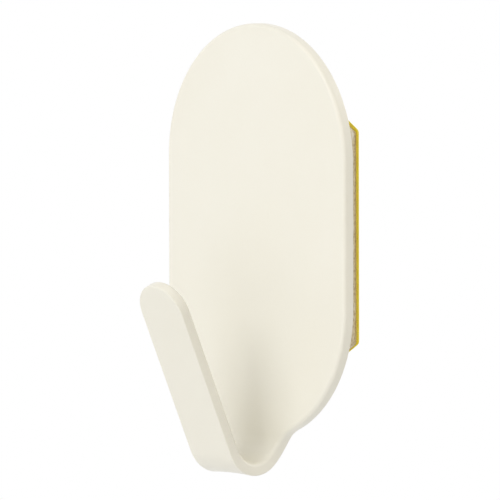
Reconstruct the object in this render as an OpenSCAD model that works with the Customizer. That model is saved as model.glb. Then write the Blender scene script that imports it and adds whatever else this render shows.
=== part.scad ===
// Adhesive wall hook.
// A steel plate with round ends runs down into a narrow tongue, which bends forwards
// and up into the hook. A foam tape on the plate's back sticks it to the wall, and a
// yellow release liner covers the tape until the hook is put up.
//
// Frame, in millimetres: +Z up, the room on the -Y side, the wall on the +Y side.
// The origin lies on the liner's back, in the plane of the wall, straight behind the
// middle of the plate.

/* [Plate] */
// Width of the plate across its straight sides
plate_w = 40.2; // [32:0.1:56]
// Height of the plate, from its top to the foot of its round lower end
plate_h = 61.7; // [56:0.1:90]
// Thickness of the plate and of the tongue
wall_t = 1.85; // [1.4:0.05:3]
// Radius of the rims that the press rolls over as it cuts: the plate's front ones,
// which run on into the throat
rim_roll_r = 0.75; // [0.2:0.05:0.9]
// Radius of the rims on the sheet's other face, which the cut leaves sharper
rim_cut_r = 0.2; // [0.1:0.05:0.45]

/* [Tongue] */
// Width of the tongue where it leaves the plate
tongue_w = 9.2; // [6:0.1:14]
// Width of the tongue at its round tip
tip_w = 9.3; // [6:0.1:14]
// Radius of the hollow shoulders between the plate and the tongue
shoulder_r = 5.6; // [2:0.1:9]
// Inside radius of the bend at the foot of the hook
bend_r = 3.7; // [2:0.05:8]
// Height of the line where the bend starts, above the foot of the plate
bend_rise = 0.6; // [0:0.1:2]
// Lean of the arm away from the plate, in degrees
arm_lean = 23.8; // [5:0.1:40]
// Length of the straight arm, from the end of the bend to the tip
arm_len = 27.6; // [16:0.1:45]
// Height by which the bend's two edges flare out past its middle, as bent sheet does
bend_flare = 0.2; // [0:0.05:0.4]

/* [Tape] */
// Thickness of the foam
foam_t = 1.5; // [0.6:0.1:3]
// Distance from the plate's straight sides in to the foam
foam_inset = 1.3; // [0.3:0.1:4]
// Distance from the plate's top down to the foam's upper end
foam_top_gap = 8.8; // [6:0.05:14]
// Distance from the plate's foot up to the foam's lower end
foam_foot_gap = 8.15; // [6:0.05:14]
// Width of the foam's flat ends, between its cut corners
foam_end_w = 15.6; // [6:0.1:20]
// Height of the cut corners
foam_cut_h = 6.8; // [2:0.1:10]
// Radius at the corners of the die-cut outline
die_corner_r = 0.7; // [0.3:0.1:2]
// Thickness of each film of adhesive
adhesive_t = 0.08; // [0.05:0.01:0.2]

/* [Liner] */
// Thickness of the release liner
liner_t = 0.12; // [0.05:0.01:0.3]
// Width by which the liner stands out past the foam's straight sides
liner_side_overhang = 0.5; // [0:0.05:0.8]
// Width by which the liner stands out past the foam's ends, on the average
liner_end_overhang = 0.35; // [0.2:0.05:0.8]
// Height of the liner's middle above the foam's
liner_rise = 0.18; // [0:0.02:0.2]

/* [Hidden] */

IVORY = "#f1edde";
ADHESIVE = "#dcd2b4";
FOAM = "#d9cfb8";
LINER = "#d8b93c";

// Steps round each arc and the bend, round a quarter of a rim, and across a face
plate_arc_steps = 26;
shoulder_steps = 14;
bend_steps = 24;
tip_steps = 12;
rim_steps = 4;
face_columns = 4;
die_corner_steps = 4;

// The layers behind the plate, from the wall forwards
liner_front_y = -liner_t;
wall_adhesive_front_y = liner_front_y - adhesive_t;
foam_front_y = wall_adhesive_front_y - foam_t;
plate_back_y = foam_front_y - adhesive_t;
plate_front_y = plate_back_y - wall_t;

// The plate's round ends, centred above and below the origin
end_r = plate_w / 2;
end_z = plate_h / 2 - end_r;

// The hollow shoulder: a circle outside the sheet that touches both the plate's lower
// end and the side of the tongue
tongue_half = tongue_w / 2;
tip_half = tip_w / 2;
shoulder_x = tongue_half + shoulder_r;
shoulder_drop = sqrt(pow(end_r + shoulder_r, 2) - pow(shoulder_x, 2));
shoulder_z = -end_z - shoulder_drop;
shoulder_turn = atan(shoulder_drop / shoulder_x);

// The bend, measured along the middle of the sheet
bend_z = bend_rise - plate_h / 2;
bend_mid_r = bend_r + wall_t / 2;
bend_turn = 180 - arm_lean;
bend_len = bend_mid_r * bend_turn * PI / 180;
bend_end = bend_z - bend_len;
tip_end = bend_end - arm_len;
tip_start = tip_end + tip_half;

// The die-cut outline of the tape: a rectangle with its four corners cut off
foam_half_w = end_r - foam_inset;
foam_half_h = (plate_h - foam_top_gap - foam_foot_gap) / 2;
foam_mid_z = (foam_foot_gap - foam_top_gap) / 2;
foam_side_half = foam_half_h - foam_cut_h;
foam_end_half = foam_end_w / 2;
corner_cut = atan(foam_cut_h / (foam_half_w - foam_end_half));

function mix(a, b, share) = a + (b - a) * share;

// One station of an arc: where it lies on the flat sheet and which way is outwards.
// A hollow arc has its centre outside the sheet, so its outward side is its inside.
function arc_station(cx, cz, r, angle, side) =
    [cx + r * cos(angle), cz + r * sin(angle), side * cos(angle), side * sin(angle)];
function arc_stations(cx, cz, r, from, to, steps) =
    [for (i = [0 : steps]) arc_station(cx, cz, r, mix(from, to, i / steps), 1)];

// Half the tongue's width, part of the way from the shoulders to the tip
function tongue_side(along) =
    mix(tongue_half, tip_half, (shoulder_z - along) / (shoulder_z - tip_start));

// Stations down the tongue's side, evenly spaced round what is left of the bend. Its
// taper is so slight that outwards is taken as square to the tongue.
function side_stations() = [
    for (i = [1 : bend_steps])
        let (along = mix(shoulder_z, min(shoulder_z, bend_end), i / bend_steps))
        [tongue_side(along), along, 1, 0]
];

// The right half of the flat sheet's outline, from the top of the plate to the tip
stations = concat(
    arc_stations(0, end_z, end_r, 90, 0, plate_arc_steps),
    arc_stations(0, -end_z, end_r, 0, -shoulder_turn, plate_arc_steps),
    [for (i = [1 : shoulder_steps])
        arc_station(shoulder_x, shoulder_z, shoulder_r,
            mix(180 - shoulder_turn, 180, i / shoulder_steps), -1)],
    side_stations(),
    arc_stations(0, tip_start, tip_half, 0, -90, tip_steps)
);

// The sheet's flat outline as one loop, down the right side and up the left
last = len(stations) - 1;
loop = concat(
    stations,
    [for (i = [last - 1 : -1 : 1])
        [-stations[i][0], stations[i][1], -stations[i][2], stations[i][3]]]
);
loop_len = len(loop);

// A point of the flat sheet, rolled round the bend. Depth runs from the face in the
// throat of the hook, 0, to the face outside it, wall_t. The flare grows towards the
// tongue's edges, and is full half way round the bend and nothing at its two ends.
function rolled(x, along, depth) =
    let (
        turn = min(bend_turn, max(0, bend_z - along) / bend_mid_r * 180 / PI),
        past = max(0, bend_end - along),
        edge_share = min(1, abs(x) / tongue_half),
        flare = bend_flare * edge_share * edge_share * sin(180 * turn / bend_turn),
        r = bend_r + depth + flare,
        y = plate_front_y - bend_r + r * cos(turn) - past * sin(turn),
        z = max(bend_z, along) - r * sin(turn) - past * cos(turn)
    )
    [x, y, z];

// Ring k of the rim, from the throat's face round the edge to the outer face, at one
// station of the loop
rings = 2 * (rim_steps + 1);
function rim_point(station, k, side_share = 1) =
    let (
        throat = k <= rim_steps,
        step = throat ? k : k - rim_steps - 1,
        angle = throat ? 90 - step * 90 / rim_steps : step * 90 / rim_steps,
        r = throat ? rim_roll_r : rim_cut_r,
        inset = r * (1 - cos(angle)),
        into = r * (1 - sin(angle))
    )
    rolled((station[0] - station[2] * inset) * side_share, station[1] - station[3] * inset,
        throat ? into : wall_t - into);

function ring_index(k, i) = k * loop_len + i % loop_len;

// Two triangles for each step of the rim
function rim_faces() = [
    for (k = [0 : rings - 2], i = [0 : loop_len - 1])
        let (a = ring_index(k, i), b = ring_index(k, i + 1),
            c = ring_index(k + 1, i + 1), d = ring_index(k + 1, i))
        each [[a, d, c], [a, c, b]]
];

// The sheet's two faces are grids between the right and left stations of the first and
// last rings. Their inner points follow those of the rings.
function face_share(j) = 1 - 2 * j / face_columns;
function face_points(k) = [
    for (i = [1 : last - 1], j = [1 : face_columns - 1]) rim_point(stations[i], k, face_share(j))
];
inner_count = (last - 1) * (face_columns - 1);
function face_index(k, i, j) =
    i == 0 || i == last || j == 0 ? ring_index(k, i)
    : j == face_columns ? ring_index(k, loop_len - i)
    : rings * loop_len + (k == 0 ? 0 : inner_count) + (i - 1) * (face_columns - 1) + j - 1;
function turned(face, flip) = flip ? [face[2], face[1], face[0]] : face;
function grid_faces(k, flip) = [
    for (i = [0 : last - 1], j = [0 : face_columns - 1])
        let (a = face_index(k, i, j), b = face_index(k, i + 1, j),
            c = face_index(k, i + 1, j + 1), d = face_index(k, i, j + 1))
        each [if (b != c) turned([a, b, c], flip), if (a != d) turned([a, c, d], flip)]
];

// The hook: plate, shoulders, bend and arm in one bent sheet of even thickness
module hook_body() {
    color(IVORY)
        polyhedron(
            points = concat(
                [for (k = [0 : rings - 1], s = loop) rim_point(s, k)],
                face_points(0),
                face_points(rings - 1)
            ),
            faces = concat(rim_faces(), grid_faces(0, false), grid_faces(rings - 1, true)),
            convexity = 6
        );
}

// The corners of the tape's outline, grown by one distance at the straight sides and
// by another at the ends and cut corners, with the direction that the edge before
// each corner faces
function die_corners(side_grow, end_grow) =
    let (
        w = foam_half_w + side_grow,
        h = foam_half_h + end_grow,
        side = foam_side_half + (end_grow - side_grow * sin(corner_cut)) / cos(corner_cut),
        end = foam_end_half + end_grow * (1 - cos(corner_cut)) / sin(corner_cut),
        cut = 90 - corner_cut
    )
    [
        [w, side, 0], [end, h, cut], [-end, h, 90], [-w, side, 180 - cut],
        [-w, -side, 180], [-end, -h, 180 + cut], [end, -h, 270], [w, -side, 360 - cut],
    ];

// The outline with each corner rounded by an arc between its two edges
function die_outline(side_grow, end_grow) =
    let (
        corners = die_corners(side_grow - die_corner_r, end_grow - die_corner_r),
        n = len(corners)
    )
    [
        for (i = [0 : n - 1], j = [0 : die_corner_steps])
            let (
                to = i == n - 1 ? 360 : corners[i + 1][2],
                angle = mix(corners[i][2], to, j / die_corner_steps)
            )
            [corners[i][0] + die_corner_r * cos(angle),
                corners[i][1] + die_corner_r * sin(angle)]
    ];

// One flat layer of the tape, from its front plane back towards the wall
module layer(front_y, thickness, side_grow = 0, end_grow = 0, rise = 0) {
    translate([0, front_y + thickness, foam_mid_z + rise])
        rotate([90, 0, 0])
            linear_extrude(thickness) polygon(die_outline(side_grow, end_grow));
}

// The film that holds the foam to the plate
module plate_adhesive() {
    color(ADHESIVE) layer(plate_back_y, adhesive_t);
}

// The foam, which takes up the roughness of the wall
module foam_core() {
    color(FOAM) layer(foam_front_y, foam_t);
}

// The film that holds the foam to the wall
module wall_adhesive() {
    color(ADHESIVE) layer(wall_adhesive_front_y, adhesive_t);
}

// The liner, a little larger than the foam, so that a finger nail finds its edge
module release_liner() {
    color(LINER)
        layer(liner_front_y, liner_t, liner_side_overhang, liner_end_overhang, liner_rise);
}

hook_body();
plate_adhesive();
foam_core();
wall_adhesive();
release_liner();
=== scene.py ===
# %% [markdown]
# # An adhesive wall hook
#
# The hook is one steel sheet: a flat plate with round ends runs down into a narrow
# tongue, and the tongue is bent forwards and up. It wears a satin ivory coat. A foam
# tape on its back will hold it to a wall, and a yellow liner covers the tape until then.
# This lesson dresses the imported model: it loads the exact pieces as a frame, replaces
# the ones whose look needs a finer mesh, and gives each surface a material of its own.

# %% Load the frame
import math

import bmesh
import bpy
from mathutils import Matrix, Vector, noise


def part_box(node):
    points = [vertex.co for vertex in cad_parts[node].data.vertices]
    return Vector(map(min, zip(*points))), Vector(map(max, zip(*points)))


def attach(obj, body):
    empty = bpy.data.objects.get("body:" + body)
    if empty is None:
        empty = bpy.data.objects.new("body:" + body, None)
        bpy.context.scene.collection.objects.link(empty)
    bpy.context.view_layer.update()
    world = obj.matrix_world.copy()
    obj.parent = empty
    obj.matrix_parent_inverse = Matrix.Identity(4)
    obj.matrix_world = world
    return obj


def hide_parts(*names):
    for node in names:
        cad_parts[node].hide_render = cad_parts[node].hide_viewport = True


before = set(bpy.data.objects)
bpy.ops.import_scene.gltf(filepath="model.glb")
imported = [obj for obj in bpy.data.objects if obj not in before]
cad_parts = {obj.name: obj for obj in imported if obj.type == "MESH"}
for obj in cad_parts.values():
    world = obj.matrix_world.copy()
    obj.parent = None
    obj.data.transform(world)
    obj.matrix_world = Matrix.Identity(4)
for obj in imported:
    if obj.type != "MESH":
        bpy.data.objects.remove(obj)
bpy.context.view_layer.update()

# %% [markdown]
# ## Sizes
#
# Blender works in metres, and this hook is small, so its sizes are written in
# millimetres and turned into metres once. What the frame can tell is read from the
# frame: the width and the top of the plate, and where each layer of the tape lies.
# Only the sizes that a box can't show, such as radii, are written here.

# %% Sizes of the hook
MM = 0.001
hook_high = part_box("hook_body")[1]
foam_low, foam_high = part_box("foam_core")
liner_low, liner_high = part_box("release_liner")

wall = 1.85 * MM
plate_back = hook_high.y
plate_front = plate_back - wall
plate_top = hook_high.z
end_radius = hook_high.x
end_height = plate_top - end_radius
print("plate front at", round(plate_front / MM, 3), "mm, end radius", round(end_radius / MM, 2), "mm")

# %% [markdown]
# ## The flat sheet
#
# A press cuts the hook from flat sheet before it bends the tongue, so the mesh starts
# flat as well. Its outline is made of arcs and straight runs. A spin of one vertex
# draws an arc, and an extruded vertex draws a straight run, so half of the outline is a
# walk from the top of the plate to the tip of the tongue. Mirror makes the other half.

# %% Draw the outline by spins
tongue_half = 9.2 * MM / 2
tip_half = 9.3 * MM / 2
shoulder_radius = 5.6 * MM
bend_radius = 3.7 * MM
bend_rise = 0.6 * MM
ARM_LEAN = 23.8
bend_turn = math.radians(180 - ARM_LEAN)
arm_length = 27.6 * MM

shoulder_x = tongue_half + shoulder_radius
shoulder_drop = math.sqrt((end_radius + shoulder_radius) ** 2 - shoulder_x**2)
shoulder_z = -end_height - shoulder_drop
shoulder_turn = math.atan2(shoulder_drop, shoulder_x)
bend_z = bend_rise - plate_top
bend_length = (bend_radius + wall / 2) * bend_turn
bend_end = bend_z - bend_length
tip_z = bend_end - arm_length + tip_half
QUARTER = math.pi / 2
END_STEPS = 48
FOOT_STEPS = 40
SHOULDER_STEPS = 20
TIP_STEPS = 24
WELD = MM / 1000


def spin_arc(bm, vert, x, z, turn, steps):
    """Spin one vertex round a point of the sheet and return the arc's last vertex."""
    made = bmesh.ops.spin(bm, geom=[vert], cent=(x, plate_front, z), axis=(0, 1, 0),
                          angle=turn, steps=steps, use_merge=False, use_duplicate=False)
    return next(item for item in made["geom_last"] if isinstance(item, bmesh.types.BMVert))


def straight_run(bm, vert, x, z):
    """Extrude one vertex to a point of the sheet and return the new vertex."""
    end = bmesh.ops.extrude_vert_indiv(bm, verts=[vert])["verts"][0]
    end.co = (x, plate_front, z)
    return end


sheet = bmesh.new()
walker = sheet.verts.new((0, plate_front, plate_top))
walker = spin_arc(sheet, walker, 0, end_height, QUARTER, END_STEPS)
walker = straight_run(sheet, walker, end_radius, -end_height)
walker = spin_arc(sheet, walker, 0, -end_height, shoulder_turn, FOOT_STEPS)
walker = spin_arc(sheet, walker, shoulder_x, shoulder_z, -shoulder_turn, SHOULDER_STEPS)
walker = straight_run(sheet, walker, tip_half, tip_z)
walker = spin_arc(sheet, walker, 0, tip_z, QUARTER, TIP_STEPS)
bmesh.ops.mirror(sheet, geom=[*sheet.verts, *sheet.edges], axis="X", merge_dist=WELD)
bmesh.ops.contextual_create(sheet, geom=sheet.edges[:])
print("outline:", len(sheet.edges), "edges,", len(sheet.faces), "face")

# %% [markdown]
# ## Thickness and rims
#
# A press cuts the sheet from one side. It rolls the edge over on the side that it comes
# from and leaves the other edge sharper, and the coat softens both a little. So the rim
# of the plate's front, which runs on into the throat, has a larger radius than the rim
# of its back, which runs on round the front of the arm. The sheet is extruded first,
# and each of its two rims then gets a bevel of its own width.

# %% Give the sheet its thickness and its two rims
rim_roll = 0.6 * MM
rim_cut = 0.2 * MM
RIM_SEGMENTS = 7


def thicken(bm, thickness):
    """Turn one flat face into a slab that reaches back towards the wall."""
    raised = bmesh.ops.extrude_face_region(bm, geom=bm.faces[:])["geom"]
    raised_verts = [item for item in raised if isinstance(item, bmesh.types.BMVert)]
    bmesh.ops.translate(bm, verts=raised_verts, vec=(0, thickness, 0))
    bmesh.ops.recalc_face_normals(bm, faces=bm.faces[:])


def round_rim(bm, face, radius, segments):
    """Round the edges of one face of a slab."""
    bmesh.ops.bevel(bm, geom=face.edges[:], offset=radius, segments=segments, profile=0.5,
                    affect="EDGES", material=-1)


def flat_face(bm, facing):
    """The slab's face that looks along -Y or +Y, for a facing of -1 or 1."""
    return max(bm.faces, key=lambda face: face.normal.y * facing)


thicken(sheet, wall)
round_rim(sheet, flat_face(sheet, -1), rim_roll, RIM_SEGMENTS)
round_rim(sheet, flat_face(sheet, 1), rim_cut, RIM_SEGMENTS)
print("sheet with rims:", len(sheet.verts), "vertices")

# %% [markdown]
# ## The bend
#
# To bend a mesh it needs edges across the bend, so planes cut the flat sheet first, one
# every few degrees. Each point is then rolled round the bend's axis by its distance
# along the sheet. Bent sheet isn't quite straight across: its outside is stretched, so
# it pulls in there, and the two edges flare out past the middle by a fifth of a
# millimetre. It shows as a slight hollow along the foot of the hook.

# %% Cut across the bend and roll the tongue up
bend_flare = 0.2 * MM
BEND_CUTS = 36
FLARE_CUTS = 8
ON_PLANE = MM / 10000
FLAT_WEIGHT = 80


def link_piece(bm, name):
    """Turn a bmesh into an object in the scene, at the origin."""
    mesh = bpy.data.meshes.new(name)
    bm.to_mesh(mesh)
    bm.free()
    piece = bpy.data.objects.new(name, mesh)
    bpy.context.scene.collection.objects.link(piece)
    return piece


def cut(bm, place, direction):
    """Cut a mesh through with a plane, and keep both sides."""
    whole = [*bm.verts, *bm.edges, *bm.faces]
    bmesh.ops.bisect_plane(bm, geom=whole, dist=ON_PLANE, plane_co=place, plane_no=direction)


def rolled(point):
    """Where a point of the flat sheet lies once the tongue is bent."""
    turn = min(bend_turn, max(0.0, bend_z - point.z) / bend_length * bend_turn)
    past = max(0.0, bend_end - point.z)
    edge_share = min(1.0, abs(point.x) / tongue_half)
    flare = bend_flare * edge_share**2 * math.sin(math.pi * turn / bend_turn) ** 2
    radius = bend_radius + point.y - plate_front + flare
    y = plate_front - bend_radius + radius * math.cos(turn) - past * math.sin(turn)
    z = max(bend_z, point.z) - radius * math.sin(turn) - past * math.cos(turn)
    return Vector((point.x, y, z))


for step in range(BEND_CUTS + 1):
    cut(sheet, (0, 0, bend_z - bend_length * step / BEND_CUTS), (0, 0, 1))
for step in range(1, FLARE_CUTS):
    cut(sheet, (tongue_half * (2 * step / FLARE_CUTS - 1), 0, 0), (1, 0, 0))
for vert in sheet.verts:
    vert.co = rolled(vert.co)
bmesh.ops.recalc_face_normals(sheet, faces=sheet.faces[:])
for face in sheet.faces:
    face.smooth = True
hook = link_piece(sheet, "hook")
flat_first = hook.modifiers.new("flat_first", "WEIGHTED_NORMAL")
flat_first.weight = FLAT_WEIGHT
print("hook:", len(hook.data.polygons), "faces, lowest point",
      round(min(v.co.z for v in hook.data.vertices) / MM, 2), "mm")

# %% [markdown]
# ## The tape
#
# Foam tape is die-cut: a steel rule presses through the foam, its films and its liner,
# and leaves a straight edge with cut-open cells. The outline is a rectangle with its
# corners cut off. Eight vertices make it, a vertex bevel rounds the corners, and an
# extrusion gives the thickness.

# %% Die-cut outlines
die_slide = 0.35 * MM
DIE_SEGMENTS = 4
foam_half_x = foam_high.x
foam_half_z = (foam_high.z - foam_low.z) / 2
foam_end_x = 15.6 * MM / 2
foam_cut = 6.8 * MM
corner_cut = math.atan2(foam_cut, foam_half_x - foam_end_x)


def die_cut(low, high):
    """A layer of the tape that fills a box, with the foam's corners cut off it."""
    middle = (low.z + high.z) / 2
    half_x = high.x
    half_z = (high.z - low.z) / 2
    side_grow = half_x - foam_half_x
    end_grow = half_z - foam_half_z
    side_z = foam_half_z - foam_cut
    side_z += (end_grow - side_grow * math.sin(corner_cut)) / math.cos(corner_cut)
    end_x = foam_end_x + end_grow * (1 - math.cos(corner_cut)) / math.sin(corner_cut)
    bm = bmesh.new()
    corners = [(half_x, -side_z), (half_x, side_z), (end_x, half_z), (-end_x, half_z),
               (-half_x, side_z), (-half_x, -side_z), (-end_x, -half_z), (end_x, -half_z)]
    outline = bm.faces.new([bm.verts.new((x, low.y, middle + z)) for x, z in corners])
    bmesh.ops.bevel(bm, geom=outline.verts[:], offset=die_slide, segments=DIE_SEGMENTS,
                    profile=0.5, affect="VERTICES", material=-1)
    thicken(bm, high.y - low.y)
    return bm


print("corners cut at", round(math.degrees(corner_cut), 1), "degrees")

# %% [markdown]
# ## The foam
#
# Seen close, the foam's cut edge is no plane: cells are open, and the middle stands out
# a little, because the hook was pressed onto the tape. Planes cut the pad into small
# squares, and each point of its edge then moves out by the bulge and in or out by a
# noise with the size of the cells. The flat faces are glued to their films and stay.

# %% Model the foam pad
foam_front = foam_low.y
foam_thickness = foam_high.y - foam_low.y
FOAM_CUT = 0.55 * MM
FOAM_LAYERS = 6
foam_bulge = 0.2 * MM
cell_depth = 0.07 * MM
CELL_SIZE = 0.45 * MM
GLUED_SHARE = 0.01
SIDEWAYS = 0.5
FACE_ON = 0.9

foam_mesh = die_cut(foam_low, foam_high)
foam_size = foam_high - foam_low
for axis, size in ((0, FOAM_CUT), (1, foam_thickness / FOAM_LAYERS), (2, FOAM_CUT)):
    count = round(foam_size[axis] / size)
    direction = Vector((0, 0, 0))
    direction[axis] = 1
    for step in range(1, count):
        cut(foam_mesh, foam_low.lerp(foam_high, step / count), direction)
foam_mesh.normal_update()
moves = {}
for vert in foam_mesh.verts:
    depth = (vert.co.y - foam_front) / foam_thickness
    middle_share = 4 * depth * (1 - depth)
    outwards = Vector((vert.normal.x, 0, vert.normal.z))
    if middle_share > GLUED_SHARE and outwards.length > SIDEWAYS:
        cell_move = noise.noise(vert.co / CELL_SIZE) * cell_depth
        moves[vert] = outwards.normalized() * (foam_bulge + cell_move) * middle_share
for vert, move in moves.items():
    vert.co += move
for face in foam_mesh.faces:
    face.smooth = abs(face.normal.y) < FACE_ON
foam = link_piece(foam_mesh, "foam_pad")
print("foam pad:", len(foam.data.polygons), "faces,", len(moves), "points of its edge moved")

# %% [markdown]
# ## The liner
#
# The liner is a thin coated paper, a little larger than the foam, so that a finger nail
# finds its edge. It is the same outline, grown. A small bevel takes the razor edge off,
# so that its rim catches a line of light.

# %% Model the release liner
liner_edge = 0.03 * MM
LINER_SEGMENTS = 2

liner_mesh = die_cut(liner_low, liner_high)
for facing in (-1, 1):
    round_rim(liner_mesh, flat_face(liner_mesh, facing), liner_edge, LINER_SEGMENTS)
liner = link_piece(liner_mesh, "liner")
print("liner:", len(liner.data.polygons), "faces, stands out past the foam by",
      round((liner_high.x - foam_high.x) / MM, 2), "mm")

# %% [markdown]
# ## Writing materials
#
# Node trees are quicker to read as sums. One small class wraps a socket and lets Python
# add and multiply it, or take the larger of two, and each of these adds a Math node.
# Everything else comes from one method, which makes a node of any kind, sets it up, and
# fills its sockets with values or links.

# %% A small language for node trees


class Wire:
    """An output socket that sums can be written with."""

    def __init__(self, tree, socket):
        self.tree = tree
        self.socket = socket

    def sum(self, operation, first, second):
        return self.tree.node("ShaderNodeMath", {"operation": operation}, {0: first, 1: second})

    def __add__(self, other):
        return self.sum("ADD", self, other)

    def __radd__(self, other):
        return self.sum("ADD", other, self)

    def __mul__(self, other):
        return self.sum("MULTIPLY", self, other)

    def larger(self, other):
        return self.sum("MAXIMUM", self, other)


class Tree:
    """The nodes of a material or a world, all made by the node method."""

    def __init__(self, owner):
        owner.use_nodes = True
        self.nodes = owner.node_tree.nodes
        self.links = owner.node_tree.links

    def fill(self, node, sockets):
        for key, value in sockets.items():
            if isinstance(value, Wire):
                self.links.new(value.socket, node.inputs[key])
            else:
                node.inputs[key].default_value = value

    def node(self, kind, settings=None, sockets=None, output=0):
        made = self.nodes.new(kind)
        for key, value in (settings or {}).items():
            setattr(made, key, value)
        self.fill(made, sockets or {})
        return Wire(self, made.outputs[output])


# %% [markdown]
# ## Patterns
#
# A material adds the few patterns that the finishes below are made of: noise of a given
# size, a band cut out of a value, a mix of two colours, and a bump of a given depth.

# %% Materials made of patterns


class Finish(Tree):
    """One material, with the patterns that it can be made of."""

    def __init__(self, name):
        self.material = bpy.data.materials.new(name)
        super().__init__(self.material)
        self.shader = self.nodes["Principled BSDF"]
        self.place = self.node("ShaderNodeTexCoord", output="Object")

    def noise(self, size, detail=2.0, place=None):
        """Noise from 0 to 1, whose spots are about as large as size."""
        return self.node("ShaderNodeTexNoise", {},
                         {"Vector": place or self.place, "Scale": 1 / size, "Detail": detail}, "Fac")

    def band(self, value, low, high):
        """A value's share of the way from low to high, held between 0 and 1."""
        return self.node("ShaderNodeMapRange", {"clamp": True},
                         {"Value": value, "From Min": low, "From Max": high})

    def mix(self, share, first, second):
        """A colour part of the way from the first to the second."""
        return self.node("ShaderNodeMix", {"data_type": "RGBA"}, {0: share, 6: first, 7: second}, 2)

    def bump(self, height, depth):
        """A bump as deep as the distance given, where the height goes from 0 to 1."""
        return self.node("ShaderNodeBump", {}, {"Height": height, "Distance": depth, "Strength": 1.0})

    def dress(self, **sockets):
        """Fill the shader's own sockets, named with _ for a space."""
        self.fill(self.shader, {key.replace("_", " "): value for key, value in sockets.items()})
        return self.material


def paint(piece, material):
    """Give a piece one material."""
    piece.data.materials.clear()
    piece.data.materials.append(material)


# %% [markdown]
# ## The ivory coat
#
# A baked coat is even, but not perfect. It has a faint orange peel a millimetre across,
# its gloss drifts a little, and so does its tint. All three are far too weak to see as a
# pattern: they only keep the surface from looking like flat colour.

# %% Ivory coat
IVORY = (0.868, 0.841, 0.742, 1)
IVORY_WARM = (0.854, 0.823, 0.716, 1)
drift_size = 18 * MM
peel_size = 1.3 * MM
grain_size = 0.25 * MM
peel_depth = 0.006 * MM

coat = Finish("ivory_coat")
drift = coat.noise(drift_size, 3.0)
peel = coat.noise(peel_size, 2.0)
grain = coat.noise(grain_size, 2.0)
paint(hook, coat.dress(
    Base_Color=coat.mix(coat.band(drift * 0.7 + grain * 0.3, 0.35, 0.65), IVORY, IVORY_WARM),
    Roughness=0.26 + drift * 0.08 + grain * 0.05,
    Normal=coat.bump(peel * 0.8 + grain * 0.2, peel_depth),
))

# %% [markdown]
# ## The foam and its adhesive
#
# The foam is a cream plastic foam. Its cut edge shows open cells, with painted shade in
# their hollows that leaves the walls lighter, and some pale streaks where the blade dragged.
# The adhesive is a clear acrylic film that has picked up the colour of what lies under it.

# %% Foam and adhesive
FOAM_WALL = (0.70, 0.61, 0.42, 1)
# Painted shade: the colour of the open cells' hollows, darker than the cell walls.
FOAM_CELL_PAINTED_SHADE = (0.50, 0.40, 0.23, 1)
FOAM_PALE = (0.80, 0.75, 0.62, 1)
blotch_size = 1.6 * MM
streak_size = 0.7 * MM
cell_bump = 0.08 * MM

tape = Finish("tape_foam")
cells = tape.node("ShaderNodeTexVoronoi", {}, {"Vector": tape.place, "Scale": 1 / CELL_SIZE},
                  "Distance")
blade_way = tape.node("ShaderNodeMapping", {}, {"Vector": tape.place, "Scale": (1.0, 1.0, 0.3)})
blotches = tape.noise(blotch_size, 3.0, blade_way)
streaks = tape.noise(streak_size, 2.0, blade_way)
# Painted shade in the cells' hollows, with a random blotchy tone, against the lighter cell walls.
cells_painted_shade = tape.mix(tape.band(cells + blotches * 0.4, 0.3, 0.9), FOAM_CELL_PAINTED_SHADE, FOAM_WALL)
paint(foam, tape.dress(
    Base_Color=tape.mix(tape.band(streaks, 0.56, 0.68), cells_painted_shade, FOAM_PALE),
    Roughness=0.85 + blotches * 0.1,
    Normal=tape.bump(cells, cell_bump),
))

FILM = (0.70, 0.63, 0.44, 1)
FILM_DARK = (0.58, 0.50, 0.31, 1)
ripple_size = 2.5 * MM
ripple_depth = 0.02 * MM

film = Finish("adhesive_film")
ripples = film.noise(ripple_size, 2.0)
tacky = film.dress(
    Base_Color=film.mix(film.band(ripples, 0.35, 0.65), FILM, FILM_DARK),
    Roughness=0.18 + ripples * 0.15,
    Normal=film.bump(ripples, ripple_depth),
)
paint(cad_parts["plate_adhesive"], tacky)
paint(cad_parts["wall_adhesive"], tacky)

# %% [markdown]
# ## The liner's paper
#
# Release paper is dyed through and coated with silicone, so it is yellow, smooth and a
# little glossy. Long fibres and small darker specks show in it, and some light that
# falls on its back comes through, so it glows at its edge.

# %% Yellow liner
YELLOW = (0.86, 0.70, 0.085, 1)
YELLOW_DEEP = (0.77, 0.60, 0.06, 1)
SPECK = (0.42, 0.29, 0.03, 1)
LIGHT_REACH = 0.4 * MM
fibre_size = 0.5 * MM
cloud_size = 6 * MM
speck_size = 0.8 * MM
paper_depth = 0.012 * MM

paper = Finish("liner_paper")
along_fibres = paper.node("ShaderNodeMapping", {}, {"Vector": paper.place, "Scale": (1.0, 1.0, 0.25)})
fibres = paper.noise(fibre_size, 4.0, along_fibres)
clouds = paper.noise(cloud_size, 3.0)
specks = paper.noise(speck_size, 1.0)
fibre_colour = paper.mix(paper.band(fibres * 0.6 + clouds * 0.4, 0.35, 0.65), YELLOW_DEEP, YELLOW)
paint(liner, paper.dress(
    Base_Color=paper.mix(paper.band(specks, 0.72, 0.80), fibre_colour, SPECK),
    Roughness=0.30 + fibres * 0.15,
    Normal=paper.bump(fibres * 0.5 + clouds * 0.5, paper_depth),
    Coat_Weight=0.25,
    Subsurface_Weight=0.7,
    Subsurface_Radius=(1.0, 0.85, 0.25),
    Subsurface_Scale=LIGHT_REACH,
))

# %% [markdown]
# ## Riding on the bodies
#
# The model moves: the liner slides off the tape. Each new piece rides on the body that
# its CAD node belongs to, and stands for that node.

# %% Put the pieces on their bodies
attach(hook, "hook")
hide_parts("hook_body")

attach(foam, "hook")
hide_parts("foam_core")

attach(liner, "liner")
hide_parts("release_liner")
print("riding on their bodies:", hook.name, foam.name, liner.name)

# %% [markdown]
# ## Floor and world
#
# The light comes from all round, as in a white tent, and a pale floor below sends some
# of it back up under the bend. To the camera, to reflections and through glass the
# world is plain white. The floor is nearly so: the small share that isn't shows the
# hook's shadow.

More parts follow.
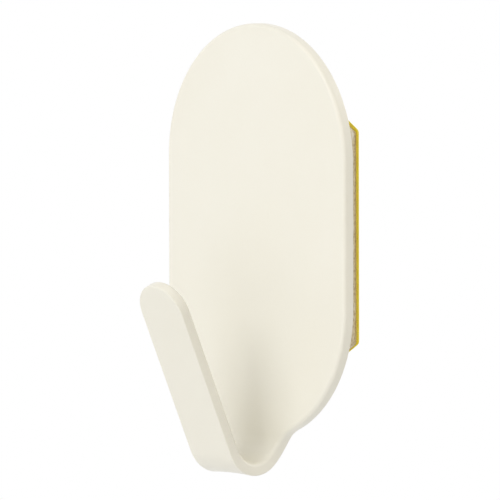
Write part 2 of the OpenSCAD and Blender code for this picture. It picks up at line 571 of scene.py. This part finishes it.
# %% Floor and world
FLOOR_Z = -0.3
FLOOR_RADIUS = 0.75
FLOOR_SEGMENTS = 96
FLOOR_WHITE = 0.85
WORLD_LEVEL = 0.43
PALE = (0.9, 0.9, 0.9, 1)
WHITE = (1, 1, 1, 1)
SEEN_RAYS = ("Is Camera Ray", "Is Glossy Ray", "Is Transmission Ray")


def seen_white(tree, end, shader, white, share=1.0):
    """Show a share of white to the camera, to reflections and through glass."""
    camera_ray, glossy_ray, through_ray = (
        tree.node("ShaderNodeLightPath", output=ray) for ray in SEEN_RAYS)
    seen = camera_ray.larger(glossy_ray).larger(through_ray)
    choice = tree.node("ShaderNodeMixShader", {}, {0: seen * share, 1: shader, 2: white})
    tree.fill(tree.nodes[end], {"Surface": choice})


floor_mesh = bmesh.new()
bmesh.ops.create_circle(floor_mesh, cap_ends=True, segments=FLOOR_SEGMENTS, radius=FLOOR_RADIUS,
                        matrix=Matrix.Translation((0, 0, FLOOR_Z)))
floor = link_piece(floor_mesh, "floor")
pale = Finish("pale_floor")
glow = pale.node("ShaderNodeEmission", {}, {"Color": WHITE})
paint(floor, pale.dress(Base_Color=PALE, Roughness=0.9))
seen_white(pale, "Material Output", Wire(pale, pale.shader.outputs[0]), glow, FLOOR_WHITE)

world = bpy.data.worlds.new("tent")
bpy.context.scene.world = world
tent = Tree(world)
tent_light = tent.nodes["Background"]
tent.fill(tent_light, {"Color": WHITE, "Strength": WORLD_LEVEL})
backdrop = tent.node("ShaderNodeBackground", {}, {"Color": WHITE})
seen_white(tent, "World Output", Wire(tent, tent_light.outputs[0]), backdrop)
print("floor radius", FLOOR_RADIUS, "m, world at", WORLD_LEVEL)

# %% [markdown]
# ## Lamps
#
# Square lamps stand round the hook at the same distance. The main one is in front and
# above, and throws the shadow behind the arm. Three low ones light the arm's front, which
# faces down. A warm one on the right lights the cut edges, and one behind shines through
# the liner.

# %% Lamps
LAMP_DISTANCE = 0.9
LAMP_SIZE = 0.5
WIDE_LAMP = 0.8
WARM = (1.0, 0.89, 0.68)


def softbox(name, azimuth, elevation, watts, size=LAMP_SIZE, tint=(1, 1, 1)):
    """A square lamp that looks at the hook, from degrees to the right of its front and up."""
    lamp = bpy.data.lights.new(name, "AREA")
    lamp.size = size
    lamp.energy = watts
    lamp.color = tint
    aside, above = math.radians(azimuth), math.radians(elevation)
    way = Vector((math.sin(aside) * math.cos(above), -math.cos(aside) * math.cos(above), math.sin(above)))
    box = bpy.data.objects.new(name, lamp)
    turn = way.to_track_quat("Z", "Y").to_matrix().to_4x4()
    box.matrix_world = Matrix.Translation(way * LAMP_DISTANCE) @ turn
    bpy.context.scene.collection.objects.link(box)


softbox("front", 0, 32, 2.35)
softbox("front_low", 0, -15, 1.6, size=WIDE_LAMP)
softbox("low_left", -45, -15, 0.6, size=WIDE_LAMP)
softbox("low_right", 40, -15, 0.6, size=WIDE_LAMP)
softbox("right_front", 45, 25, 0.8)
softbox("right", 90, 30, 1.1, tint=WARM)
softbox("top", 0, 88, 0.9)
softbox("left", -70, 18, 0.4)
softbox("behind", 165, 25, 2.5)
print("lamps:", sorted(lamp.name for lamp in bpy.data.lights))

# %% [markdown]
# ## Camera
#
# The camera stands to the right of the hook, about a metre away, and looks slightly
# down. The numbers come from fitting a perspective view to the outline of the hook.

# %% Camera
AZIMUTH = math.radians(49.271)
ELEVATION = math.radians(3.88)
ROLL = math.radians(-0.145)
DISTANCE = 1.0
FOCAL_PIXELS = 6729.5
PHOTO_PIXELS = 500
SENSOR_WIDTH = 36.0
aim_right = -0.673 * MM
aim_up = -2.812 * MM

towards_camera = Vector((math.sin(AZIMUTH) * math.cos(ELEVATION),
                         -math.cos(AZIMUTH) * math.cos(ELEVATION), math.sin(ELEVATION)))
level_right = Vector((math.cos(AZIMUTH), math.sin(AZIMUTH), 0))
level_up = towards_camera.cross(level_right)
right = level_right * math.cos(ROLL) + level_up * math.sin(ROLL)
up = level_up * math.cos(ROLL) - level_right * math.sin(ROLL)
aim = Vector((0, plate_front, 0)) + right * aim_right + up * aim_up

lens = bpy.data.cameras.new("camera")
lens.sensor_width = SENSOR_WIDTH
lens.lens = SENSOR_WIDTH * FOCAL_PIXELS / PHOTO_PIXELS
camera = bpy.data.objects.new("camera", lens)
camera.matrix_world = Matrix.Translation(aim + towards_camera * DISTANCE) @ Matrix(
    (right, up, towards_camera)).transposed().to_4x4()
bpy.context.scene.collection.objects.link(camera)
bpy.context.scene.camera = camera
bpy.context.scene.view_settings.view_transform = "Standard"
print("lens", round(lens.lens, 1), "mm at", DISTANCE, "m")
